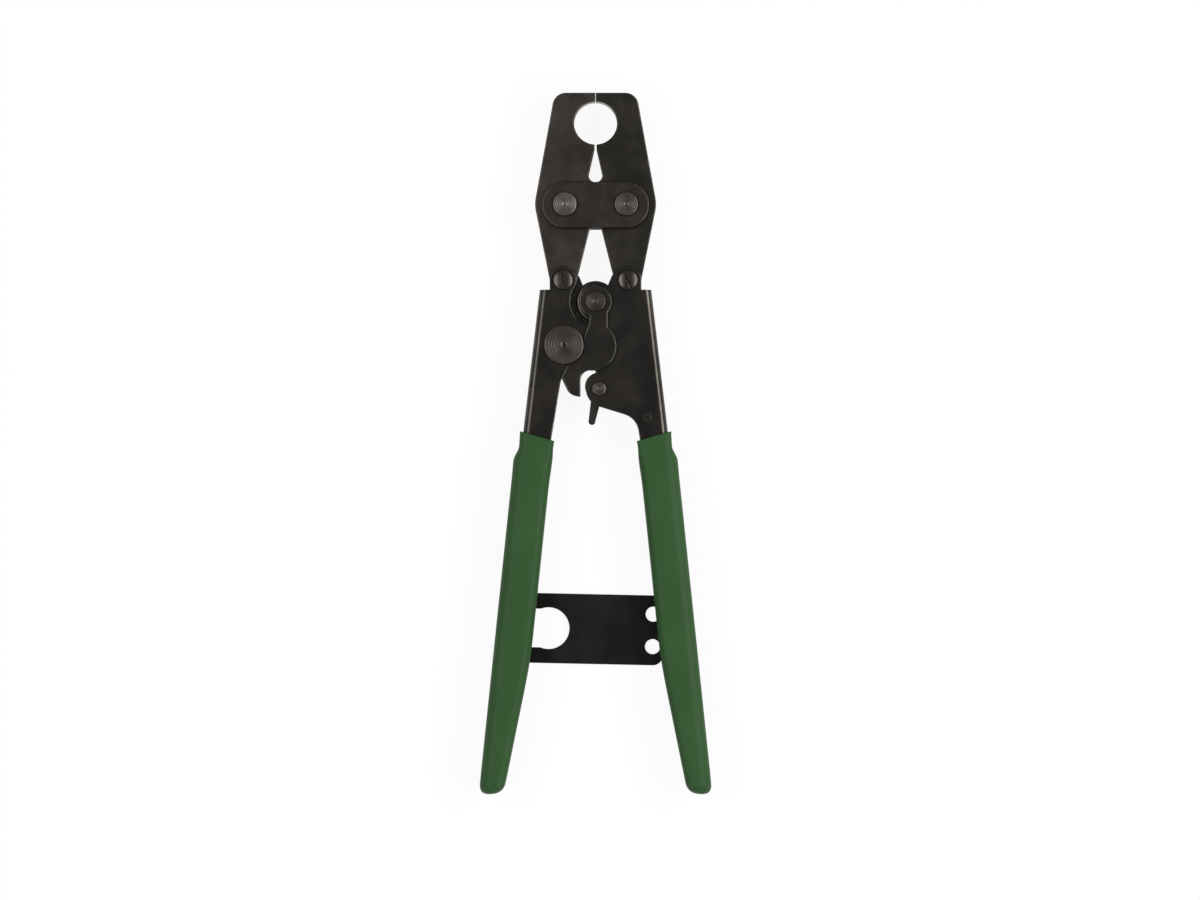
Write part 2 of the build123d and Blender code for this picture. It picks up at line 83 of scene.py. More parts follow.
# %% [markdown]
# ## Camera
#
# The tool is looked at from straight above, from far enough away that both sides of the bore
# look almost alike. The camera could be orthographic, but a long lens keeps the little that
# is seen of the bore's wall. The picture is 1.708 tool lengths wide, and the tool sits a
# little above and left of its middle.

# %% Camera
CAMERA_HEIGHT = 1.5
PICTURE_WIDTH = 1.708 * tool_length
AIM = Vector((0.0019, -0.0028, 0.0176))
SENSOR_WIDTH = 36.0
FARTHEST_SEEN = 20.0

lens_data = bpy.data.cameras.new("lens")
lens_data.sensor_width = SENSOR_WIDTH
lens_data.lens = SENSOR_WIDTH * CAMERA_HEIGHT / PICTURE_WIDTH
lens_data.clip_end = FARTHEST_SEEN
camera = bpy.data.objects.new("camera", lens_data)
camera.location = AIM + Vector((0, 0, CAMERA_HEIGHT))
bpy.context.scene.collection.objects.link(camera)
bpy.context.scene.camera = camera
bpy.context.scene.view_settings.view_transform = "Standard"
print("lens", round(lens_data.lens, 1), "mm")

# %% [markdown]
# ## Table and screen
#
# The table is pale and matt, and a low screen runs round it far away, so that a view from the
# side ends in white too. A table that simply glows would be quick, but it would light the tool
# from below. So table and screen glow white only for the camera and for reflections, and what
# is left of the table's own shading keeps a soft shadow under the tool.

# %% Node helpers
def add_node(tree, kind, settings=None, inputs=None):
    """A shader node with its settings and unlinked input values."""
    node = tree.nodes.new(kind)
    for name, value in (settings or {}).items():
        setattr(node, name, value)
    for name, value in (inputs or {}).items():
        node.inputs[name].default_value = value
    return node


def plug(tree, value, socket):
    """Link an output socket to an input socket, or set a plain value there."""
    if isinstance(value, bpy.types.NodeSocket):
        tree.links.new(value, socket)
    else:
        socket.default_value = value


def calculate(tree, operation, first, second=0.0):
    """One step of arithmetic on sockets or numbers, as an output socket."""
    node = add_node(tree, "ShaderNodeMath", {"operation": operation})
    plug(tree, first, node.inputs[0])
    plug(tree, second, node.inputs[1])
    return node.outputs[0]


def new_material(name):
    """An empty node material, its node tree and its output node."""
    material = bpy.data.materials.new(name)
    material.use_nodes = True
    tree = material.node_tree
    tree.nodes.clear()
    return material, tree, add_node(tree, "ShaderNodeOutputMaterial")


print("node helpers", [helper.__name__ for helper in (add_node, plug, calculate, new_material)])

# %% Studio finish
WHITE = (1, 1, 1, 1)
PALE = (0.9, 0.9, 0.9, 1)
FILL = (0.30, 0.30, 0.31, 1)


def seen_by_eye_or_gloss(tree):
    """1 for rays from the camera and for reflected and refracted rays, else 0."""
    path = add_node(tree, "ShaderNodeLightPath")
    total = path.outputs["Is Camera Ray"]
    for extra in ("Is Glossy Ray", "Is Transmission Ray"):
        total = calculate(tree, "MAXIMUM", total, path.outputs[extra])
    return total


def studio_finish(name, kind, colour, white_share):
    """A plain shader of one colour, with this share of white for the eye and for gloss."""
    material, tree, output = new_material(name)
    plain = add_node(tree, kind, inputs={"Color": colour})
    glow = add_node(tree, "ShaderNodeEmission", inputs={"Color": WHITE, "Strength": 1.0})
    share = calculate(tree, "MULTIPLY", seen_by_eye_or_gloss(tree), white_share)
    choice = add_node(tree, "ShaderNodeMixShader")
    plug(tree, share, choice.inputs["Fac"])
    plug(tree, plain.outputs[0], choice.inputs[1])
    plug(tree, glow.outputs[0], choice.inputs[2])
    plug(tree, choice.outputs[0], output.inputs["Surface"])
    print(name, len(tree.nodes), "nodes")
    return material


table_finish = studio_finish("table_white", "ShaderNodeBsdfDiffuse", PALE, 0.92)
screen_finish = studio_finish("screen_white", "ShaderNodeEmission", FILL, 1.0)

# %% Table and the screen round it
TABLE_HALF = 11.0
SCREEN_HEIGHT = 1.6


def stage_mesh(name, vertices, faces, material):
    """A mesh object that belongs to the studio and not to the tool."""
    mesh = bpy.data.meshes.new(name)
    mesh.from_pydata(vertices, [], faces)
    mesh.materials.append(material)
    stage_piece = bpy.data.objects.new(name, mesh)
    bpy.context.scene.collection.objects.link(stage_piece)


corners = [(x * TABLE_HALF, y * TABLE_HALF, 0) for x, y in ((-1, -1), (1, -1), (1, 1), (-1, 1))]
tops = [(x, y, SCREEN_HEIGHT) for x, y, _ in corners]
BOX_WALLS = [(k, (k + 1) % 4, 4 + (k + 1) % 4, 4 + k) for k in range(4)]
stage_mesh("table", corners, [(0, 1, 2, 3)], table_finish)
stage_mesh("screen", corners + tops, BOX_WALLS, screen_finish)
print("table", 2 * TABLE_HALF, "m wide, screen", SCREEN_HEIGHT, "m high")

# %% [markdown]
# ## Soft boxes and the space overhead
#
# Dark steel shows nothing but what it reflects. One big lamp overhead would turn every flat
# face grey. Instead two long soft boxes stand left and right of the camera, the right one a
# little lower and about twice as bright, with their long sides along the handles. Each bend of
# the handles carries one bright line, and the flat faces, which look at the dim space overhead,
# stay dark. The world is that space: a plain grey, which is also the even fill.

# %% Soft boxes
BOX_LENGTH = 1.8
SOFT_BOXES = {
    "soft_box_left": {"x": -0.92, "z": 1.26, "width": 0.65, "radiance": 3.3},
    "soft_box_right": {"x": 1.08, "z": 1.12, "width": 0.62, "radiance": 6.3}}


def soft_box(name, x, z, width, radiance):
    """A long lamp of a given brightness that faces the tool, its long side along the handles."""
    lamp = bpy.data.lights.new(name, "AREA")
    lamp.shape = "RECTANGLE"
    lamp.size = BOX_LENGTH
    lamp.size_y = width
    lamp.energy = radiance * math.pi * BOX_LENGTH * width
    holder = bpy.data.objects.new(name, lamp)
    holder.location = (x, 0, z)
    holder.rotation_euler = (-holder.location).to_track_quat("-Z", "Y").to_euler()
    bpy.context.scene.collection.objects.link(holder)
    print(name, round(lamp.energy, 1), "W")


for name, setting in SOFT_BOXES.items():
    soft_box(name, **setting)

# %% World
world = bpy.data.worlds.new("studio")
world.use_nodes = True
bpy.context.scene.world = world
sky = world.node_tree
sky.nodes.clear()
fill = add_node(sky, "ShaderNodeBackground", inputs={"Color": FILL, "Strength": 1.0})
plug(sky, fill.outputs[0], add_node(sky, "ShaderNodeOutputWorld").inputs["Surface"])
print("world fill", FILL[:3])

# %% [markdown]
# ## Effects that several finishes share
#
# Black oxide is never one flat black. It is a thin skin on the steel, mottled where the bath and the oil
# took unevenly, and rubbed through on corners, where a brighter colour also paints a highlight. Recesses
# are darkened with painted shade. Each effect could be drawn anew in every material, but then one
# correction means ten. So each is a node group, built once, with its own dials.

# %% Group helpers
FLOAT, COLOUR, VECTOR = "NodeSocketFloat", "NodeSocketColor", "NodeSocketVector"


def new_group(name, inputs, outputs):
    """A shader node group with named sockets, and its input and output nodes."""
    group = bpy.data.node_groups.new(name, "ShaderNodeTree")
    for label, kind, value in inputs:
        socket = group.interface.new_socket(label, in_out="INPUT", socket_type=kind)
        socket.default_value = value
    for label, kind in outputs:
        group.interface.new_socket(label, in_out="OUTPUT", socket_type=kind)
    print(name, "takes", [label for label, _, _ in inputs], "and gives", [label for label, _ in outputs])
    return group, group.nodes.new("NodeGroupInput"), group.nodes.new("NodeGroupOutput")


def group_node(tree, group, **dials):
    """A placed node group with its dials set."""
    return add_node(tree, "ShaderNodeGroup", {"node_tree": group}, dials)


print("group helpers", [helper.__name__ for helper in (new_group, group_node)])

# %% Steps that the groups are made of
MIX_FIRST, MIX_SECOND, MIX_RESULT = 6, 7, 2    # where a Mix node keeps its colour sockets


def stretch(tree, source, low, high, out_low=0.0, out_high=1.0):
    """Map a value's range onto another, clamped, as an output socket."""
    node = add_node(tree, "ShaderNodeMapRange")
    ends = {"Value": source, "From Min": low, "From Max": high, "To Min": out_low, "To Max": out_high}
    for label, value in ends.items():
        plug(tree, value, node.inputs[label])
    return node.outputs["Result"]


def mix_colours(tree, share, first, second):
    """Two colours mixed by a share, as an output socket."""
    node = add_node(tree, "ShaderNodeMix", {"data_type": "RGBA"})
    plug(tree, share, node.inputs["Factor"])
    plug(tree, first, node.inputs[MIX_FIRST])
    plug(tree, second, node.inputs[MIX_SECOND])
    return node.outputs[MIX_RESULT]


def local_noise(tree, scale, detail, rough=0.5, squeeze=(1, 1, 1)):
    """Noise fixed to the piece, in metres. scale and squeeze are values or output sockets."""
    place = add_node(tree, "ShaderNodeTexCoord")
    mapping = add_node(tree, "ShaderNodeMapping")
    noise = add_node(tree, "ShaderNodeTexNoise", inputs={"Detail": detail, "Roughness": rough})
    plug(tree, place.outputs["Object"], mapping.inputs["Vector"])
    plug(tree, squeeze, mapping.inputs["Scale"])
    plug(tree, mapping.outputs["Vector"], noise.inputs["Vector"])
    plug(tree, scale, noise.inputs["Scale"])
    return noise.outputs["Fac"]


print("steps", [helper.__name__ for helper in (stretch, mix_colours, local_noise)])

# %% [markdown]
# ### Mottle
#
# The oxide bath leaves soft patches a centimetre or two wide, a little lighter and browner than
# the rest. A painted mask would need a flat layout of every part. Noise in the part's own space
# needs none, and it runs over edges as the real patches do.

# %% Mottle: two tones of the oxide bath
BLACK = (0, 0, 0, 1)
mottle, given, result = new_group(
    "bath_mottle",
    [("Dark", COLOUR, BLACK), ("Light", COLOUR, BLACK), ("Scale", FLOAT, 60.0), ("Contrast", FLOAT, 0.5)],
    [("Colour", COLOUR)])
patch = stretch(mottle, local_noise(mottle, given.outputs["Scale"], 5.0, 0.6), 0.35, 0.68)
share = calculate(mottle, "MULTIPLY", patch, given.outputs["Contrast"])
blended = mix_colours(mottle, share, given.outputs["Dark"], given.outputs["Light"])
plug(mottle, blended, result.inputs["Colour"])
print("mottle", len(mottle.nodes), "nodes")

# %% [markdown]
# ### Broken edge
#
# No edge of the tool is knife-sharp: each is sheared, deburred and then rubbed by hands, and catches a
# line of light. Chamfers in the mesh would cost many faces. A Bevel node rounds the normals alone, and
# where the rounded normal leaves the true one there is a corner. Noise breaks up that corner's wear, which
# is never an even stripe. The brighter colour that the mask lays on corners is partly real wear and partly
# a painted highlight along the edges.

# %% Broken edge: rounded normals, and masks of the corners and of their wear and painted highlight
broken_edge, given, result = new_group(
    "broken_edge", [("Radius", FLOAT, 0.4 * MM), ("Wear", FLOAT, 0.5)],
    [("Normal", VECTOR), ("Mask", FLOAT), ("Corner", FLOAT)])
rounded = add_node(broken_edge, "ShaderNodeBevel", {"samples": 6})
true_face = add_node(broken_edge, "ShaderNodeNewGeometry")
agree = add_node(broken_edge, "ShaderNodeVectorMath", {"operation": "DOT_PRODUCT"})
plug(broken_edge, given.outputs["Radius"], rounded.inputs["Radius"])
plug(broken_edge, rounded.outputs["Normal"], agree.inputs[0])
plug(broken_edge, true_face.outputs["Normal"], agree.inputs[1])
corner = stretch(broken_edge, agree.outputs["Value"], 0.99, 0.80)
scuff = stretch(broken_edge, local_noise(broken_edge, 420.0, 4.0, 0.7), 0.28, 0.72)
worn_and_highlight = calculate(broken_edge, "MULTIPLY", corner, scuff)
plug(broken_edge, rounded.outputs["Normal"], result.inputs["Normal"])
plug(broken_edge, calculate(broken_edge, "MULTIPLY", worn_and_highlight, given.outputs["Wear"]), result.inputs["Mask"])
plug(broken_edge, corner, result.inputs["Corner"])
print("broken edge", len(broken_edge.nodes), "nodes")

# %% [markdown]
# ### Painted shade in recesses
#
# Steps, slots and the ground round heads are darkened here, as painted shade. Ambient occlusion measures
# how sheltered a point is, so it makes the mask.

# %% Recess: painted shade in steps and under heads
recess_shade_group, given, result = new_group(
    "oily_recess", [("Reach", FLOAT, 1.2 * MM), ("Amount", FLOAT, 0.7)], [("Mask", FLOAT)])
shelter = add_node(recess_shade_group, "ShaderNodeAmbientOcclusion", {"samples": 6})
plug(recess_shade_group, given.outputs["Reach"], shelter.inputs["Distance"])
closed = stretch(recess_shade_group, shelter.outputs["AO"], 0.35, 0.92, 1.0, 0.0)
plug(recess_shade_group, calculate(recess_shade_group, "MULTIPLY", closed, given.outputs["Amount"]), result.inputs["Mask"])
print("recess_shade_group", len(recess_shade_group.nodes), "nodes")

# %% [markdown]
# ### Grain and lathe rings
#
# Blasting leaves specks all ways alike, and grinding draws them out along one direction: the
# same noise, squeezed along an axis, gives both. A lathe leaves rings instead. A Wave texture
# draws rings too, but only about its own origin, and would have to be moved to each part. So
# the rings are worked out, with the centre as a dial: the distance to the part's axis, divided
# by the tool's feed, through a sine.

# %% Grain: fine specks, drawn out along one direction by grinding
grain, given, result = new_group(
    "ground_grain", [("Scale", FLOAT, 1500.0), ("Drawn", VECTOR, (1, 1, 1))], [("Height", FLOAT)])
specks = local_noise(grain, given.outputs["Scale"], 3.0, 0.6, given.outputs["Drawn"])
plug(grain, specks, result.inputs["Height"])
print("grain", len(grain.nodes), "nodes")

# %% Lathe rings: a ripple about an upright axis
lathe_rings, given, result = new_group(
    "lathe_rings", [("Centre", VECTOR, (0, 0, 0)), ("Pitch", FLOAT, 0.6 * MM)], [("Height", FLOAT)])
place = add_node(lathe_rings, "ShaderNodeTexCoord")
spoke = add_node(lathe_rings, "ShaderNodeVectorMath", {"operation": "SUBTRACT"})
level = add_node(lathe_rings, "ShaderNodeVectorMath", {"operation": "MULTIPLY"})
distance = add_node(lathe_rings, "ShaderNodeVectorMath", {"operation": "LENGTH"})
plug(lathe_rings, place.outputs["Object"], spoke.inputs[0])
plug(lathe_rings, given.outputs["Centre"], spoke.inputs[1])
plug(lathe_rings, spoke.outputs[0], level.inputs[0])
plug(lathe_rings, (1, 1, 0), level.inputs[1])
plug(lathe_rings, level.outputs[0], distance.inputs[0])
turns = calculate(lathe_rings, "DIVIDE", distance.outputs["Value"], given.outputs["Pitch"])
ripple = calculate(lathe_rings, "SINE", calculate(lathe_rings, "MULTIPLY", turns, 2 * math.pi))
plug(lathe_rings, stretch(lathe_rings, ripple, -1.0, 1.0), result.inputs["Height"])
print("lathe rings", len(lathe_rings.nodes), "nodes")

# %% [markdown]
# ## Black oxide steel
#
# Nine parts in ten are the same steel from the same bath, and they differ in how they were ground, rubbed
# and oiled, and in the painted light and shade that some copies carry. One function makes every steel
# finish. The base colour runs between two brown blacks by the mottle, worn corners show a little brighter
# metal, which is partly a painted highlight, recesses are darkened as painted shade, and roughness follows
# the smears of oil. What is the same all over a part, such as its being metal, is set on the shader's own
# sockets.

# %% Colour and relief of steel
# The colour that recesses are darkened towards: painted shade.
RECESS_SHADE = (0.006, 0.005, 0.004)
MOTTLE_CONTRAST = 0.9


def steel_colour(tree, tones, worn_and_highlight, scale, rim):
    """Mottled black, brighter on corners as wear and painted highlight, and darker in recesses as painted
    shade, as an output socket.
    """
    dark, light = [(*tone, 1) for tone in tones]
    tone = group_node(tree, mottle, Dark=dark, Light=light, Scale=scale, Contrast=MOTTLE_CONTRAST)
    # Corners get a brighter colour: partly real wear, partly painted highlight.
    rubbed_and_highlit = mix_colours(tree, rim.outputs["Mask"], tone.outputs["Colour"], (*worn_and_highlight, 1))
    # Recesses are darkened as painted shade, kept off the corners so that their lines of light stay
    # bright.
    off_corner = calculate(tree, "SUBTRACT", 1.0, rim.outputs["Corner"])
    shade_in_recess = calculate(tree, "MULTIPLY", group_node(tree, recess_shade_group).outputs["Mask"], off_corner)
    return mix_colours(tree, shade_in_recess, rubbed_and_highlit, (*RECESS_SHADE, 1))


def bumped(tree, height, depth, normal=None, strength=1.0):
    """A relief of this depth, laid over a normal if one is given, as an output socket."""
    bump = add_node(tree, "ShaderNodeBump", inputs={"Distance": depth, "Strength": strength})
    plug(tree, height, bump.inputs["Height"])
    if normal is not None:
        plug(tree, normal, bump.inputs["Normal"])
    return bump.outputs["Normal"]


print("steel colour from", mottle.name, broken_edge.name, recess_shade_group.name)

# %% Steel finish
# Corner colour: partly real worn metal, partly a painted highlight along the edges.
WORN_AND_HIGHLIGHT = (0.26, 0.24, 0.225)
SMEAR_SCALE, SMEAR_SQUEEZE = 140.0, (1.0, 0.35, 1.0)


def steel(name, tones, rough, worn_and_highlight=WORN_AND_HIGHLIGHT, scale=60.0, drawn=(1, 1, 1), relief=12 * MICRON,
          wear_and_highlight=0.5, edge=0.4 * MM, rings=None):
    """Black oxide steel. tones are its dark and light colour, rough its lowest and highest
    roughness, and rings the centre, pitch and depth of a lathe's rings."""
    material, tree, output = new_material(name)
    shader = add_node(tree, "ShaderNodeBsdfPrincipled", inputs={"Metallic": 1.0})
    plug(tree, shader.outputs["BSDF"], output.inputs["Surface"])
    rim = group_node(tree, broken_edge, Radius=edge, Wear=wear_and_highlight)
    plug(tree, steel_colour(tree, tones, worn_and_highlight, scale, rim), shader.inputs["Base Color"])
    smear = local_noise(tree, SMEAR_SCALE, 4.0, 0.6, SMEAR_SQUEEZE)
    plug(tree, stretch(tree, smear, 0.3, 0.7, *rough), shader.inputs["Roughness"])
    specks = group_node(tree, grain, Drawn=drawn).outputs["Height"]
    normal = bumped(tree, specks, relief, rim.outputs["Normal"])
    if rings:
        centre, pitch, depth = rings
        ring = group_node(tree, lathe_rings, Centre=tuple(centre), Pitch=pitch)
        normal = bumped(tree, ring.outputs["Height"], depth, normal)
    plug(tree, normal, shader.inputs["Normal"])
    print(name, len(tree.nodes), "nodes")
    return material


print("usual worn colour", WORN_AND_HIGHLIGHT)

# %% Finishes of the CAD parts
GROUND = {"drawn": (1.0, 0.15, 1.0), "relief": 6 * MICRON, "edge": 0.3 * MM}
# Both jaws are the same steel: the left jaw's lighter tones are painted light and the right jaw's darker
# tones are painted shade.
LEFT_JAW_LIT_TONES = ((0.059, 0.051, 0.044), (0.118, 0.101, 0.088))
RIGHT_JAW_SHADED_TONES = ((0.037, 0.0345, 0.0285), (0.077, 0.069, 0.058))
SHEET_TONES = ((0.043, 0.040, 0.035), (0.086, 0.077, 0.067))
CORE_TONES = ((0.045, 0.042, 0.036), (0.090, 0.081, 0.070))
LINK_TONES = ((0.050, 0.043, 0.037), (0.078, 0.067, 0.058))
GAUGE_TONES = ((0.017, 0.0162, 0.0142), (0.029, 0.027, 0.0245))
TURNED_TONES = ((0.050, 0.043, 0.038), (0.092, 0.080, 0.071))

jaw_left_lit = steel("black_oxide_left_jaw", LEFT_JAW_LIT_TONES, (0.28, 0.38), **GROUND)
jaw_right_shaded = steel("black_oxide_right_jaw", RIGHT_JAW_SHADED_TONES, (0.28, 0.38), **GROUND)
# The sheet gets more corner colour, which paints the highlight lines on its rims.
sheet = steel("black_oxide_sheet", SHEET_TONES, (0.20, 0.27), relief=1.5 * MICRON, wear_and_highlight=0.7, edge=0.6 * MM)
core = steel("black_oxide_core", CORE_TONES, (0.28, 0.38))
link = steel("black_oxide_link", LINK_TONES, (0.30, 0.40), scale=110.0, relief=8 * MICRON)
gauge = steel("black_oxide_gauge", GAUGE_TONES, (0.40, 0.50), worn_and_highlight=(0.08, 0.075, 0.07))
plain_turned = steel("black_oxide_screw", TURNED_TONES, (0.24, 0.34), worn_and_highlight=(0.35, 0.32, 0.29),
                     scale=220.0, edge=0.3 * MM)


# %% Dress the CAD parts
def dress(material, *nodes):
    """Give CAD parts one finish."""
    for node in nodes:
        mesh = frame["nodes"][node].data
        mesh.materials.clear()
        mesh.materials.append(material)
    print(material.name, "on", len(nodes), "parts")


dress(jaw_left_lit, "left_jaw")
dress(jaw_right_shaded, "right_jaw")
dress(link, "front_link_plate", "rear_link_plate")
dress(sheet, "left_handle_channel", "right_handle_channel", "front_hook_plate", "rear_side_plate")
dress(gauge, "gauge_plate")
dress(core, "ratchet_plate", "pawl", "front_hub_spacer", "rear_hub_spacer", "front_knob_spacer",
      "rear_knob_spacer", "front_pawl_bush", "rear_pawl_bush", "spring_anchor_pin")
dress(plain_turned, "left_sleeve_nut", "right_sleeve_nut", "knob_washer", "knob_nut", "side_plate_rivet")

# %% [markdown]
# ## Turned pins and knob
#
# The pins and the knob are turned on a lathe: a shank between two heads, each head with a
# bevelled rim, a run of fine steps from the tool, and a small centre. A cylinder with a bump
# would stay flat from the side. Each is spun here from one profile, as on the lathe, at the
# place and between the heights that the CAD part has.

# %% A piece that stands for a CAD part
body_of_node = {}
for body, nodes in frame["record"]["behaviour"]["bodies"].items():
    for node in nodes:
        body_of_node[node] = body


def make_object(name, vertices, faces, material, node):
    """A smooth mesh object that stands for a CAD part and rides on that part's body."""
    mesh = bpy.data.meshes.new(name)
    mesh.from_pydata(vertices, [], faces)
    mesh.validate()
    mesh.polygons.foreach_set("use_smooth", [True] * len(mesh.polygons))
    mesh.materials.append(material)
    piece = bpy.data.objects.new(name, mesh)
    bpy.context.scene.collection.objects.link(piece)
    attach(piece, body_of_node[node])
    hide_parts(node)
    print(name, len(mesh.vertices), "vertices")
    return piece


# %% Skins and spun shapes
def skin(rows, count, flip=False):
    """Faces over rows of points that close on themselves, with both ends capped."""
    faces = []
    for row in range(rows - 1):
        for k in range(count):
            here, there = row * count + k, row * count + (k + 1) % count
            faces.append((here, there, there + count, here + count))
    faces.append(tuple(range(count - 1, -1, -1)))
    faces.append(tuple(range((rows - 1) * count, rows * count)))
    return [face[::-1] for face in faces] if flip else faces


def spin(profile, centre, steps):
    """Vertices and faces of a profile of (radius, height), turned about an upright axis."""
    turns = [2 * math.pi * k / steps for k in range(steps)]
    vertices = []
    for radius, height in profile:
        for turn in turns:
            x = centre.x + radius * math.cos(turn)
            y = centre.y + radius * math.sin(turn)
            vertices.append((x, y, height))
    return vertices, skin(len(profile), steps)


print("faces of a tube of 4 rows and 6 sides", len(skin(4, 6)))

# %% Profile of a turned head
HEAD_BEVEL = 0.35 * MM
DIMPLE_SHARE = 0.13


def head_profile(radius, base, top, pitch, depth):
    """Rim, bevel and turned steps of a head, of this pitch and depth, from its underside in."""
    dimple = DIMPLE_SHARE * radius
    up = 1 if top > base else -1
    points = [
        (radius, base),
        (radius, top - up * HEAD_BEVEL),
        (radius - 0.4 * HEAD_BEVEL, top - up * 0.3 * HEAD_BEVEL),
        (radius - HEAD_BEVEL, top)]
    reach = radius - HEAD_BEVEL - 0.4 * pitch
    while reach > dimple + pitch:
        points += [(reach, top), (reach - 0.35 * pitch, top - up * depth), (reach - 0.6 * pitch, top)]
        reach -= pitch
    centre_cone = [(dimple, 0.0), (0.55 * dimple, 0.5 * dimple), (0.1 * dimple, 0.9 * dimple)]
    return points + [(r, top - up * drop) for r, drop in centre_cone]


print("points in a 5 mm head", len(head_profile(5 * MM, 0, 2 * MM, 0.8 * MM, 0.12 * MM)))

# %% Turned pins
PIN_TONES = ((0.130, 0.114, 0.103), (0.210, 0.185, 0.168))
# Corner colour of the pins: partly wear, partly painted highlight.
PIN_WORN_AND_HIGHLIGHT = (0.42, 0.38, 0.34)
PIN_STEPS = 96
FRONT_CUTS, REAR_CUTS = (0.80 * MM, 0.12 * MM), (0.62 * MM, 0.07 * MM)    # pitch and depth
# Each pin's tone scales one steel colour: the pins are the same steel, and their lighter and darker copies
# are painted light and shade.
PINS = {
    "left_link_pin": {"shank": 3.5, "head": 5.0, "thick": 1.75, "tone": 1.0},
    "right_link_pin": {"shank": 3.5, "head": 5.0, "thick": 1.75, "tone": 0.74},
    "centre_pin": {"shank": 3.0, "head": 4.25, "thick": 1.55, "tone": 0.47},
    "pawl_pin": {"shank": 2.0, "head": 2.95, "thick": 1.4, "tone": 0.75}}

for node, pin in PINS.items():
    low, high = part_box(node)
    centre = (low + high) / 2
    shank, head, thick = pin["shank"] * MM, pin["head"] * MM, pin["thick"] * MM
    front = head_profile(head, high.z - thick, high.z, *FRONT_CUTS)
    rear = head_profile(head, low.z + thick, low.z, *REAR_CUTS)
    profile = rear[::-1] + [(shank, low.z + thick), (shank, high.z - thick)] + front
    tones = [tuple(pin["tone"] * c for c in tone) for tone in PIN_TONES]
    finish = steel("turned_" + node, tones, (0.26, 0.36), worn_and_highlight=PIN_WORN_AND_HIGHLIGHT, scale=260.0, edge=0.1 * MM,
                   rings=(centre, 0.21 * MM, 3 * MICRON))
    make_object(node + "_turned", *spin(profile, centre, PIN_STEPS), finish, node)

# %% Knob
KNOB_TONES = ((0.070, 0.059, 0.052), (0.122, 0.104, 0.092))
# Corner colour of the knob: partly wear, partly painted highlight.
KNOB_WORN_AND_HIGHLIGHT = (0.36, 0.32, 0.29)
KNOB_THICK = 2.3 * MM
KNOB_STEPS = 128
KNOB_CUTS = (1.25 * MM, 0.16 * MM)
STUD_R, STUD_BEVEL = 3.5 * MM, 0.4 * MM
NEAR_AXIS = 0.2 * MM

low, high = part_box("knob_bolt")
centre = (low + high) / 2
base = high.z - KNOB_THICK
stud = [(NEAR_AXIS, low.z), (STUD_R - STUD_BEVEL, low.z), (STUD_R, low.z + STUD_BEVEL), (STUD_R, base)]
knob_head = head_profile(high.x - centre.x, base, high.z, *KNOB_CUTS)
finish = steel("turned_knob", KNOB_TONES, (0.28, 0.38), worn_and_highlight=KNOB_WORN_AND_HIGHLIGHT, scale=200.0, edge=0.1 * MM,
               rings=(centre, 0.28 * MM, 8 * MICRON))
make_object("knob_turned", *spin(stud + knob_head, centre, KNOB_STEPS), finish, "knob_bolt")

# %% [markdown]
# ## Slotted screws
#
# The two screws that the jaws swing on have low round heads with a sawn slot. The dome is
# spun, and the slot is cut from it with a boolean, which keeps the slot's walls sharp. A slot
# modelled face by face would be cleaner, but it is long work for two small heads.

# %% Dome
DOME_DROP, DOME_RIM, DOME_STEPS = 0.75 * MM, 0.25 * MM, 12


def domed_profile(radius, base, top):
    """A low dome from its underside to its middle, with a rounded rim."""
    points = [(radius, base), (radius, top - DOME_DROP - DOME_RIM)]
    for k in range(DOME_STEPS):
        reach = (radius - 0.3 * DOME_RIM) * math.cos(math.radians(90 * k / DOME_STEPS))
        points.append((reach, top - DOME_DROP * (reach / radius) ** 2))
    return points + [(0.02 * radius, top)]


print("points in a dome", len(domed_profile(4 * MM, 0, 2 * MM)))

# %% Slot
SLOT_WIDTH, SLOT_DEPTH, SLOT_REACH = 0.95 * MM, 1.1 * MM, 6 * MM


def slot_mesh(centre, top, tilt):
    """The bar that a saw takes away: as wide as the slot, longer than the head."""
    aslant = math.radians(tilt)
    along = Vector((-math.sin(aslant), math.cos(aslant), 0)) * SLOT_REACH
    beside = Vector((along.y, -along.x, 0)).normalized() * SLOT_WIDTH / 2
    points = []
    for z in (top - SLOT_DEPTH, top + SLOT_DEPTH):
        middle = Vector((centre.x, centre.y, z))
        points += [tuple(middle + a * along + b * beside) for a, b in ((-1, 1), (1, 1), (1, -1), (-1, -1))]
    mesh = bpy.data.meshes.new("slot_bar")
    mesh.from_pydata(points, [], [(3, 2, 1, 0), (4, 5, 6, 7)] + BOX_WALLS)
    return mesh


def cut(piece, cutter_mesh):
    """Take a closed mesh away from a piece, for good, and leave its faces flat."""
    cutter = bpy.data.objects.new("cutter", cutter_mesh)
    bpy.context.scene.collection.objects.link(cutter)
    step = piece.modifiers.new("slot", "BOOLEAN")
    step.operation = "DIFFERENCE"
    step.solver = "EXACT"
    step.object = cutter
    whole = piece.evaluated_get(bpy.context.evaluated_depsgraph_get())
    mesh = bpy.data.meshes.new_from_object(whole)
    mesh.polygons.foreach_set("use_smooth", [False] * len(mesh.polygons))
    piece.modifiers.clear()
    piece.data = mesh
    bpy.data.objects.remove(cutter)
    print(piece.name, "cut,", len(mesh.vertices), "vertices")


print("slot", round(SLOT_WIDTH / MM, 2), "by", round(SLOT_DEPTH / MM, 2), "mm")

# %% Slotted screws
SCREW_HEAD, SCREW_SHANK_R = 1.9 * MM, 2.2 * MM
SLOT_TILT = {"left": 12.0, "right": 22.0}
SCREW_STEPS = 72

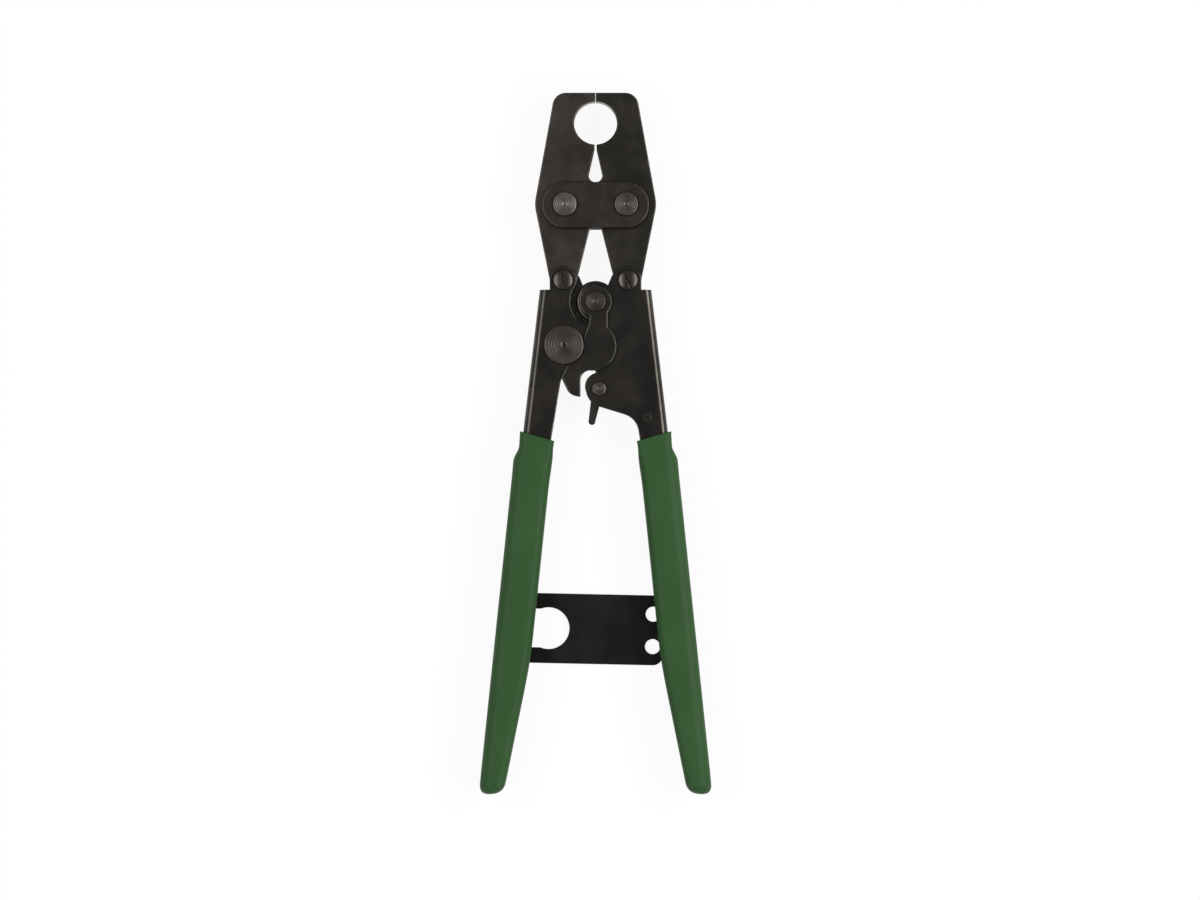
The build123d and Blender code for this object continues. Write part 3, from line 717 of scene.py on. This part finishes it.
for side, tilt in SLOT_TILT.items():
    node = side + "_pivot_screw"
    low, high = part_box(node)
    centre = (low + high) / 2
    base = high.z - SCREW_HEAD
    shank = [(NEAR_AXIS, low.z), (SCREW_SHANK_R, low.z), (SCREW_SHANK_R, base)]
    profile = shank + domed_profile((high.x - low.x) / 2, base, high.z)
    screw = make_object(node + "_turned", *spin(profile, centre, SCREW_STEPS), plain_turned, node)
    cut(screw, slot_mesh(centre, high.z, tilt))

# %% [markdown]
# ## Dipped grips
#
# The handles are dipped in thick vinyl. A dip follows the handle below it: a thin collar
# where the handle left the bath, a soft shoulder, a long flat-sided body with rounded edges,
# and a blunt end that tapers on the inner side. The collar's lip runs aslant, lower on the
# inner side, and it turns over into the mouth. A box with a bevel would lose the shoulder and
# the taper, so each grip is lofted through cross-sections, which change along its length.

# %% Grip outline, in millimetres right of the main pivot and above it
PIVOT = Vector((0.0, 60.5, 11.0)) * MM
TIP = -210.3
GRIP_OUTER = ((32.1, -55.4), (32.7, -64.2), (35.1, -68.2), (49.95, TIP))
GRIP_INNER = ((18.05, -59.4), (27.9, -153.7), (39.4, TIP))
MOUTH = -57.4


def chain_at(chain, y):
    """Where a chain of (x, y) points that runs down is at height y, extended past its ends."""
    for (x0, y0), (x1, y1) in zip(chain, chain[1:]):
        if y >= y1 or (x1, y1) == chain[-1]:
            return x0 + (x1 - x0) * (y0 - y) / (y0 - y1)


def softened(chain, y, spread):
    """The chain's place averaged over a stretch of heights, so that its corners are rounded."""
    shares = [k / 4 - 1 for k in range(9)]
    weights = [1.15 - abs(s) for s in shares]
    return sum(w * chain_at(chain, y + s * spread) for w, s in zip(weights, shares)) / sum(weights)


print("grip width at the mouth", round(chain_at(GRIP_OUTER, MOUTH) - chain_at(GRIP_INNER, MOUTH), 1), "mm")

# %% Grip cross-section
COLLAR_HALF, BODY_HALF = 7.75, 8.68
COLLAR_EDGE, BODY_EDGE = 2.8, 5.0
SHOULDER_TOP, SHOULDER_RUN = -62.5, 6.5
OUTER_SPREAD, COLLAR_SPREAD, BEND_SPREAD = 1.2, 2.0, 14.0
LONG_BEND_BELOW = -100
WAIST_DEPTH, WAIST_TOP, WAIST_BOTTOM = 0.25, -61, -80
WAIST_RUN_IN, WAIST_RUN_OUT = 5, 10
LIP_RUN, LIP_INNER, LIP_OUTER, LIP_HALF = 1.1, 0.15, 0.12, 0.14


def ease(value):
    """Smooth step from 0 to 1."""
    value = min(max(value, 0.0), 1.0)
    return value * value * (3 - 2 * value)


def section_at(y):
    """Inner x, outer x, half thickness and edge radius of the grip at a height."""
    body_share = ease((SHOULDER_TOP - y) / SHOULDER_RUN)
    half = COLLAR_HALF + (BODY_HALF - COLLAR_HALF) * body_share
    edge = COLLAR_EDGE + (BODY_EDGE - COLLAR_EDGE) * body_share
    outer = softened(GRIP_OUTER, y, OUTER_SPREAD)
    inner = softened(GRIP_INNER, y, COLLAR_SPREAD if y > LONG_BEND_BELOW else BEND_SPREAD)
    waist = ease((WAIST_TOP - y) / WAIST_RUN_IN) * ease((y - WAIST_BOTTOM) / WAIST_RUN_OUT)
    inner -= WAIST_DEPTH * waist
    lip = math.exp(-((y - MOUTH) / LIP_RUN) ** 2)
    return inner - LIP_INNER * lip, outer + LIP_OUTER * lip, half + LIP_HALF * lip, edge


print("collar and body", [[round(v, 1) for v in section_at(y)] for y in (MOUTH, -120)])

# %% Grip ring
ARC_STEPS, FACE_STEPS = 7, 5
INNER_EDGE_SHARE = 0.7
CROWN = 0.035


def fill_faces(points):
    """Add points on the four straight stretches between a ring's round corners."""
    filled = []
    for k, (x, z) in enumerate(points):
        filled.append((x, z))
        if k % (ARC_STEPS + 1) == ARC_STEPS:
            x2, z2 = points[(k + 1) % len(points)]
            for n in range(1, FACE_STEPS):
                filled.append((x + (x2 - x) * n / FACE_STEPS, z + (z2 - z) * n / FACE_STEPS))
    return filled


def ring(inner, outer, half, edge, crown=0.0):
    """Points (x, z) of a rounded rectangle with softly crowned faces, anticlockwise."""
    tight = INNER_EDGE_SHARE * edge
    middle, width = (inner + outer) / 2, (outer - inner) / 2
    points = []
    for x, z, start, radius in ((outer, half, 0, edge), (inner, half, 90, tight),
                                (inner, -half, 180, tight), (outer, -half, 270, edge)):
        edge_x = min(radius, 0.998 * width)
        edge_z = min(radius, 0.999 * half)
        cx = x - math.copysign(edge_x, x - middle)
        cz = z - math.copysign(edge_z, z)
        for k in range(ARC_STEPS + 1):
            turn = math.radians(start + 90 * k / ARC_STEPS)
            points.append((cx + edge_x * math.cos(turn), cz + edge_z * math.sin(turn)))
    return [(x, z * (1 - crown * ((x - middle) / width) ** 2)) for x, z in fill_faces(points)]


print("points in a ring", len(ring(*section_at(-120))))

# %% Rings of the mouth
LIP_LEAN = (GRIP_OUTER[0][1] - GRIP_INNER[0][1]) / (GRIP_OUTER[0][0] - GRIP_INNER[0][0])
MOUTH_WALLS = ((5.0, 1.15), (1.2, 1.1), (0.45, 0.85), (0.1, 0.4))    # depth, wall thickness there


def mouth_rings():
    """Rings inside the mouth, from deep in it to its lip, each with its height and lean."""
    inner, outer, half, edge = section_at(MOUTH)
    rings = []
    for depth, wall in MOUTH_WALLS:
        inside = ring(inner + wall, outer - wall, half - wall, edge - 0.5 * wall)
        rings.append((MOUTH - depth, LIP_LEAN, inside))
    return rings


print("rings in the mouth", len(mouth_rings()))

# %% Rings of the blunt end
END_ROUND, END_STEPS, END_STOP_SHORT = 4.6, 15, 0.7
END_INNER, END_OUTER, END_HALF = 4.3, 2.6, 4.6
END_INSET = 0.05


def end_rings():
    """Rings that round off the lower end."""
    rings = []
    for k in range(END_STEPS):
        turn = math.radians(90 * k / (END_STEPS - END_STOP_SHORT))
        shrink = 1 - math.cos(turn)
        y = TIP + END_ROUND - END_ROUND * math.sin(turn)
        inner, outer, half, edge = section_at(y)
        inner += END_INNER * shrink
        outer -= END_INSET + END_OUTER * shrink
        rings.append((y, 0.0, ring(inner, outer, half - END_HALF * shrink, edge, CROWN)))
    return rings


print("lowest ring at", round(end_rings()[-1][0], 2))

# %% All rings of a grip
LEAN_END, LEAN_RUN = -76, 16
LIP_HEIGHTS = [-57.42, -57.8, -58.4, -59.2]
COLLAR_HEIGHTS = [-60 - 0.75 * k for k in range(20)]
BODY_HEIGHTS = [-76 - 4.0 * k for k in range(32)]


def grip_rings():
    """Every ring of the grip, from inside its mouth over the lip and down to its end."""
    rings = mouth_rings()
    for y in LIP_HEIGHTS + COLLAR_HEIGHTS + BODY_HEIGHTS:
        lean = LIP_LEAN * ease((y - LEAN_END) / LEAN_RUN)
        rings.append((y, lean, ring(*section_at(y), CROWN)))
    return rings + end_rings()


print("rings in a grip", len(grip_rings()))

# %% [markdown]
# ### Green vinyl
#
# Dipped vinyl is soft and slightly matt: a dark green with faint patches, a slow waviness
# where the dip ran before it set, and a fine skin. It isn't glossy paint, so the shader's
# specular level is low. Two bumps of different size stand for the run and the skin.

# %% Vinyl finish
vinyl, tree, output = new_material("green_dipped_vinyl")
shader = add_node(tree, "ShaderNodeBsdfPrincipled", inputs={"Specular IOR Level": 0.18})
plug(tree, shader.outputs["BSDF"], output.inputs["Surface"])
DARK_GREEN, LIGHT_GREEN = (0.0225, 0.0690, 0.0175, 1), (0.0275, 0.0785, 0.0225, 1)
tone = group_node(tree, mottle, Dark=DARK_GREEN, Light=LIGHT_GREEN, Scale=45.0, Contrast=0.8)
plug(tree, tone.outputs["Colour"], shader.inputs["Base Color"])
plug(tree, stretch(tree, local_noise(tree, 90.0, 3.0), 0.3, 0.7, 0.50, 0.62), shader.inputs["Roughness"])
run = bumped(tree, local_noise(tree, 110.0, 2.0), 0.12 * MM, strength=0.7)
fine_skin = bumped(tree, group_node(tree, grain, Scale=2600.0).outputs["Height"], 20 * MICRON, run, 0.6)
plug(tree, fine_skin, shader.inputs["Normal"])
print("vinyl", len(tree.nodes), "nodes")


# %% Both grips
def grip_mesh(side):
    """Vertices and faces of one grip. side is 1 for the right one and -1 for the left."""
    vertices = []
    rings = grip_rings()
    count = len(rings[0][2])
    for y, lean, points in rings:
        middle = sum(x for x, _ in points) / count
        for x, z in points:
            vertices.append(tuple(PIVOT + Vector((side * x, y + lean * (x - middle), z)) * MM))
    return vertices, skin(len(rings), count, flip=side < 0)


for side, name in ((-1, "left"), (1, "right")):
    make_object(name + "_grip_dip", *grip_mesh(side), vinyl, name + "_grip")

# %% [markdown]
# ## Pawl spring
#
# A short extension spring pulls the pawl back to its middle, whichever way the teeth tip it.
# It is one wire: an eye round the pawl's tab, close coils, and an eye round the anchor pin. A Screw
# modifier makes coils but no eyes, so the wire's line is worked out point by point in the spring's own
# directions, and a round bevel gives it thickness.

# %% Where the spring lies
TAB_REACH = 5.4 * MM


def middle_of(node):
    """The middle of a CAD part's box, at the height where the spring lies."""
    low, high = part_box(node)
    middle = (low + high) / 2
    return Vector((middle.x, middle.y, PIVOT.z))


pawl_at, anchor_at = middle_of("pawl_pin"), middle_of("spring_anchor_pin")
pull = (anchor_at - pawl_at).normalized()
across = Vector((-pull.y, pull.x, 0))
up = Vector((0, 0, 1))
tab_at = pawl_at + pull * TAB_REACH
reach = (anchor_at - tab_at).length


def spring_point(x, y, z):
    """A point given along the spring from the pawl's tab, across it and up."""
    return tab_at + pull * x + across * y + up * z


print("spring reach", round(reach / MM, 1), "mm")

# %% Line of the wire
WIRE_R, COIL_R = 0.3 * MM, 1.25 * MM
COILS, COIL_SIDES = 18, 16
TAB_EYE_R, ANCHOR_EYE_R = 1.3 * MM, 1.4 * MM
TAB_EYE_POINTS, ANCHOR_EYE_POINTS = 14, 20
coil_from, coil_to = 2.9 * MM, reach - 2.2 * MM

line = []
for k in range(TAB_EYE_POINTS):
    turn = math.radians(-150 + 300 * k / (TAB_EYE_POINTS - 1))
    line.append(spring_point(TAB_EYE_R * (1 + math.cos(turn)), 0, TAB_EYE_R * math.sin(turn)))
for k in range(COILS * COIL_SIDES + 1):
    turn = 2 * math.pi * k / COIL_SIDES
    x = coil_from + (coil_to - coil_from) * k / (COILS * COIL_SIDES)
    line.append(spring_point(x, COIL_R * math.sin(turn), COIL_R * math.cos(turn)))
for k in range(ANCHOR_EYE_POINTS):
    turn = math.radians(180 - 330 * k / (ANCHOR_EYE_POINTS - 1))
    line.append(spring_point(reach + ANCHOR_EYE_R * math.cos(turn), ANCHOR_EYE_R * math.sin(turn), 0))
print("points on the wire", len(line))

# %% Spring
WIRE_TONES = ((0.30, 0.30, 0.305), (0.40, 0.40, 0.41))
wire_steel = steel("drawn_spring_wire", WIRE_TONES, (0.22, 0.30), worn_and_highlight=(0.5, 0.5, 0.5), edge=0.1 * MM)


def wire_mesh(points, radius):
    """A round wire along a line of points, as a mesh."""
    curve = bpy.data.curves.new("spring_line", "CURVE")
    curve.dimensions = "3D"
    curve.bevel_depth = radius
    curve.bevel_resolution = 2
    wire = curve.splines.new("POLY")
    wire.points.add(len(points) - 1)
    for point, at in zip(wire.points, points):
        point.co = (*at, 1)
    holder = bpy.data.objects.new("spring_line", curve)
    bpy.context.scene.collection.objects.link(holder)
    bpy.context.view_layer.update()
    whole = holder.evaluated_get(bpy.context.evaluated_depsgraph_get())
    mesh = bpy.data.meshes.new_from_object(whole)
    bpy.data.objects.remove(holder)
    return mesh


spring_mesh = wire_mesh(line, WIRE_R)
spring_mesh.materials.clear()
spring_mesh.materials.append(wire_steel)
spring = bpy.data.objects.new("pawl_spring_coil", spring_mesh)
bpy.context.scene.collection.objects.link(spring)
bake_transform(spring)
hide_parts("pawl_spring")
print("spring", len(spring_mesh.vertices), "vertices")
